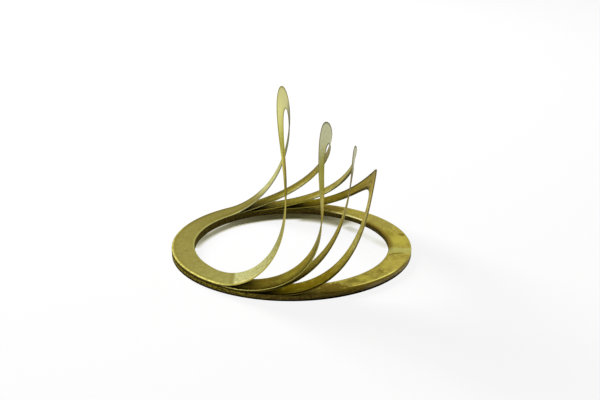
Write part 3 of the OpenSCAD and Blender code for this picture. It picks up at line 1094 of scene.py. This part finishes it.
class SHIM_OT_bonded(bpy.types.Operator):
    """Make the laminations that are bonded all the way round"""

    bl_idname = "shim.bonded"
    bl_label = "Bonded Laminations"

    def execute(self, context):
        tree = lamination_tree()
        for number in range(PEELED + 1, LAMINATIONS + 1):
            make_lamination(number, tree, foil_finish(number))
        return {"FINISHED"}


class SHIM_OT_peeled(bpy.types.Operator):
    """Make the four laminations that are peeled into loops"""

    bl_idname = "shim.peeled"
    bl_label = "Peeled Laminations"

    def execute(self, context):
        tree = lamination_tree()
        for number in range(1, PEELED + 1):
            make_lamination(number, tree, foil_finish(number))
        return {"FINISHED"}


WHITE = (1.0, 1.0, 1.0)


def seen_directly(bench):
    """1 for camera, mirror and glass rays, which see the white background, and 0 for the other rays."""
    path = bench.add("ShaderNodeLightPath")
    return path["Is Camera Ray"].most(path["Is Glossy Ray"]).most(path["Is Transmission Ray"])


def make_world(stage):
    """White background with an even soft light."""
    world = bpy.data.worlds.new("Studio")
    world.use_nodes = True
    world.node_tree.nodes.clear()
    bench = Bench(world.node_tree)
    light, seen = (bench.add("ShaderNodeBackground", None,
                             {"Color": WHITE, "Strength": strength})["Background"]
                   for strength in (stage.ambient, 1.0))
    both = bench.add("ShaderNodeMixShader", None, {0: seen_directly(bench), 1: light, 2: seen})["Shader"]
    bench.add("ShaderNodeOutputWorld", None, {"Surface": both})
    bpy.context.scene.world = world


# Crescent of painted shadow on the floor inside the bore, where the floor's white is taken off and warmed
# so that the lamp's shadow shows: a circle moved off the axis bounds it, in metres; then its depth against
# the angle round the bore in degrees
CRESCENT_CENTRE = (0.0003, -0.00205)
CRESCENT_BAND = (0.0101, 0.0109)
CRESCENT_DEPTH = (
    (38, 0.0), (45, 0.25), (50, 0.6), (55, 0.8), (60, 0.87), (70, 0.95), (85, 1.0), (105, 1.0),
    (120, 0.955), (130, 0.91), (140, 0.82), (150, 0.76), (165, 0.75), (174, 0.62), (180, 0.3),
)
# Softer painted shadow of the loops at the right of the crescent: band of radii, sector and strength
LOOP_SHADOW = ((0.0074, 0.0087), (66.0, 14.0, 8.0), 0.8)
# Painted light that the wall throws back on the floor at its foot on the left: band of radii, sector and
# strength
FOOT_LIGHT = ((0.0099, 0.0102), (146.0, 7.0, 7.0), 0.35)
# Faint streak of painted warm shade that the lowest loop throws on the floor at the right: direction of its
# normal in degrees, distance from the axis, half width, its ends and their fade, all in metres
STREAK = (35.0, 0.00855, 0.00055, (-0.0012, 0.0055), 0.0006)
# Where the streak is full and gone, in half widths; its strength all along it; where along it more is added
# at the near end and at the far end, in metres, and how much
STREAK_FADE = (0.3, 1.6)
STREAK_SHARE = 0.11
STREAK_NEAR = ((-0.0004, 0.001), 0.24)
STREAK_FAR = ((0.003, 0.0045), 0.13)
# Radii between which the painted shadow ends under the ring; how white the floor shows, how much of that
# the painted shadow takes off, and half its side in metres
UNDER_RING = (0.0115, 0.0122)
FLOOR_WHITE = 0.9
FLOOR_SHADE = 0.89
FLOOR_HALF = 3.0


def floor_streak(x, y):
    """Share of the faint painted streak of shade on the floor at the right."""
    turn, distance, half, (start, stop), fade = STREAK
    (near, near_share), (far, far_share) = STREAK_NEAR, STREAK_FAR
    normal_x, normal_y = math.cos(math.radians(turn)), math.sin(math.radians(turn))
    aside = abs(x * normal_x + y * normal_y - distance)
    along = x * normal_y - y * normal_x
    ends = along.rise(start - fade, start) * along.fall(stop, stop + fade)
    share = along.fall(*near) * near_share + along.rise(*far) * far_share + STREAK_SHARE
    full, gone = STREAK_FADE
    return aside.fall(half * full, half * gone) * ends * share


def crescent(bench, x, y, radius):
    """Share of the floor's painted shadow inside the bore."""
    centre_x, centre_y = CRESCENT_CENTRE
    aside, back = x - centre_x, y - centre_y
    off_axis = (aside * aside + back * back).sqrt()
    turn = y.calc("ARCTAN2", y, x) * (1.0 / math.pi)
    stops = [(angle / 180.0, (depth, depth, depth)) for angle, depth in CRESCENT_DEPTH]
    depth, _, _ = bench.split(bench.add("ShaderNodeValToRGB", {"stops": stops}, {"Fac": turn})["Color"])
    loops, thrown = (radius.rise(*band) * sector(x, y, radius, *part) * strength
                     for band, part, strength in (LOOP_SHADOW, FOOT_LIGHT))
    dark = (off_axis.rise(*CRESCENT_BAND) * depth).most(loops).most(floor_streak(x, y))
    return dark * (1.0 - thrown) * radius.fall(*UNDER_RING)


def make_floor(stage):
    """Pale floor under the bottom face; it shows white with faint shadows, and painted shadow in the bore."""
    half = FLOOR_HALF
    corners = [(-half, -half, 0.0), (half, -half, 0.0), (half, half, 0.0), (-half, half, 0.0)]
    mesh = bpy.data.meshes.new("floor")
    mesh.from_pydata(corners, [], [(0, 1, 2, 3)])
    floor = bpy.data.objects.new("floor", mesh)
    bpy.context.scene.collection.objects.link(floor)
    material = bpy.data.materials.new("floor")
    material.use_nodes = True
    material.node_tree.nodes.clear()
    bench = Bench(material.node_tree)
    x, y, _ = bench.split(bench.add("ShaderNodeTexCoord")["Object"])
    radius = (x * x + y * y).sqrt()
    shaded = crescent(bench, x, y, radius)
    plain = bench.add("ShaderNodeBsdfDiffuse", None, {"Color": stage.floor})["BSDF"]
    # Painted reflected light of the brass: warmer floor and glow where the painted shadow lies
    painted_brass_tint = bench.add("ShaderNodeBsdfDiffuse", None, {"Color": stage.floor_warm})["BSDF"]
    paper = bench.add("ShaderNodeMixShader", None, {0: shaded, 1: plain, 2: painted_brass_tint})["Shader"]
    white = bench.add("ShaderNodeEmission", None, {"Color": WHITE, "Strength": 1.0})["Emission"]
    painted_brass_glow = bench.add("ShaderNodeEmission", None, {"Color": stage.floor_glow, "Strength": 1.0})["Emission"]
    backdrop = bench.add("ShaderNodeMixShader", None, {0: shaded, 1: white, 2: painted_brass_glow})["Shader"]
    share = seen_directly(bench) * (FLOOR_WHITE - shaded * FLOOR_SHADE)
    both = bench.add("ShaderNodeMixShader", None, {0: share, 1: paper, 2: backdrop})["Shader"]
    bench.add("ShaderNodeOutputMaterial", None, {"Surface": both})
    mesh.materials.append(material)


# Soft square lamps: name, place, side, power, and whether it shows in the brass or else lights the floor
LAMPS = (
    ("softbox_top", (-0.04, -0.02, 0.26), 0.20, 0.25, True),
    ("softbox_back", (-0.145, 0.173, 0.09), 0.09, 1.6, False),
)


def aim(thing, target):
    """Turns a lamp or camera towards a point."""
    away = Vector(target) - thing.location
    thing.rotation_euler = away.to_track_quat("-Z", "Y").to_euler()


def make_lamps():
    """One soft lamp for the highlights in the brass and one for the floor and its shadow."""
    for name, place, side, power, mirrored in LAMPS:
        data = bpy.data.lights.new(name, "AREA")
        data.shape = "SQUARE"
        data.size = side
        data.energy = power
        lamp = bpy.data.objects.new(name, data)
        lamp.location = place
        lamp.visible_glossy = mirrored
        lamp.visible_diffuse = not mirrored
        aim(lamp, (0.0, 0.0, 0.0))
        bpy.context.scene.collection.objects.link(lamp)


# Camera: width of its sensor in millimetres, then the nearest and the farthest it sees in metres
SENSOR_WIDTH = 36.0
CLIP_START = 0.001
CLIP_END = 20.0


def make_camera(stage):
    """Camera at the photograph's viewing angle."""
    data = bpy.data.cameras.new("camera")
    data.sensor_fit = "HORIZONTAL"
    data.sensor_width = SENSOR_WIDTH
    data.lens = stage.camera_lens
    data.clip_start = CLIP_START
    data.clip_end = CLIP_END
    data.dof.use_dof = False
    camera = bpy.data.objects.new("camera", data)
    camera.location = stage.camera_place
    aim(camera, stage.camera_target)
    bpy.context.scene.collection.objects.link(camera)
    bpy.context.scene.camera = camera


class SHIM_OT_stage(bpy.types.Operator):
    """Make the floor, the lamps, the background and the camera"""

    bl_idname = "shim.stage"
    bl_label = "Stage"

    def execute(self, context):
        stage = context.scene.shim_stage
        make_world(stage)
        make_floor(stage)
        make_lamps()
        make_camera(stage)
        context.scene.view_settings.view_transform = "Standard"
        return {"FINISHED"}


OPERATORS = (SHIM_OT_bonded, SHIM_OT_peeled, SHIM_OT_stage)


class SHIM_PT_panel(bpy.types.Panel):
    """Buttons and values of the shim"""

    bl_idname = "SHIM_PT_panel"
    bl_label = "Laminated Shim"
    bl_space_type = "VIEW_3D"
    bl_region_type = "UI"
    bl_category = "Shim"

    def draw(self, context):
        for operator in OPERATORS:
            self.layout.operator(operator.bl_idname)
        for name, group in SETTINGS.items():
            box = self.layout.box()
            box.label(text=name.capitalize())
            values = getattr(context.scene, "shim_" + name)
            for key in group.__annotations__:
                box.prop(values, key)


CLASSES = (*SETTINGS.values(), *OPERATORS, SHIM_PT_panel)


def register():
    for item in CLASSES:
        bpy.utils.register_class(item)
    for name, group in SETTINGS.items():
        setattr(bpy.types.Scene, "shim_" + name, PointerProperty(type=group))


def unregister():
    for name in SETTINGS:
        delattr(bpy.types.Scene, "shim_" + name)
    for item in reversed(CLASSES):
        bpy.utils.unregister_class(item)


def main():
    register()
    bpy.ops.shim.bonded()
    bpy.ops.shim.peeled()
    bpy.ops.shim.stage()


if __name__ == "__main__":
    main()
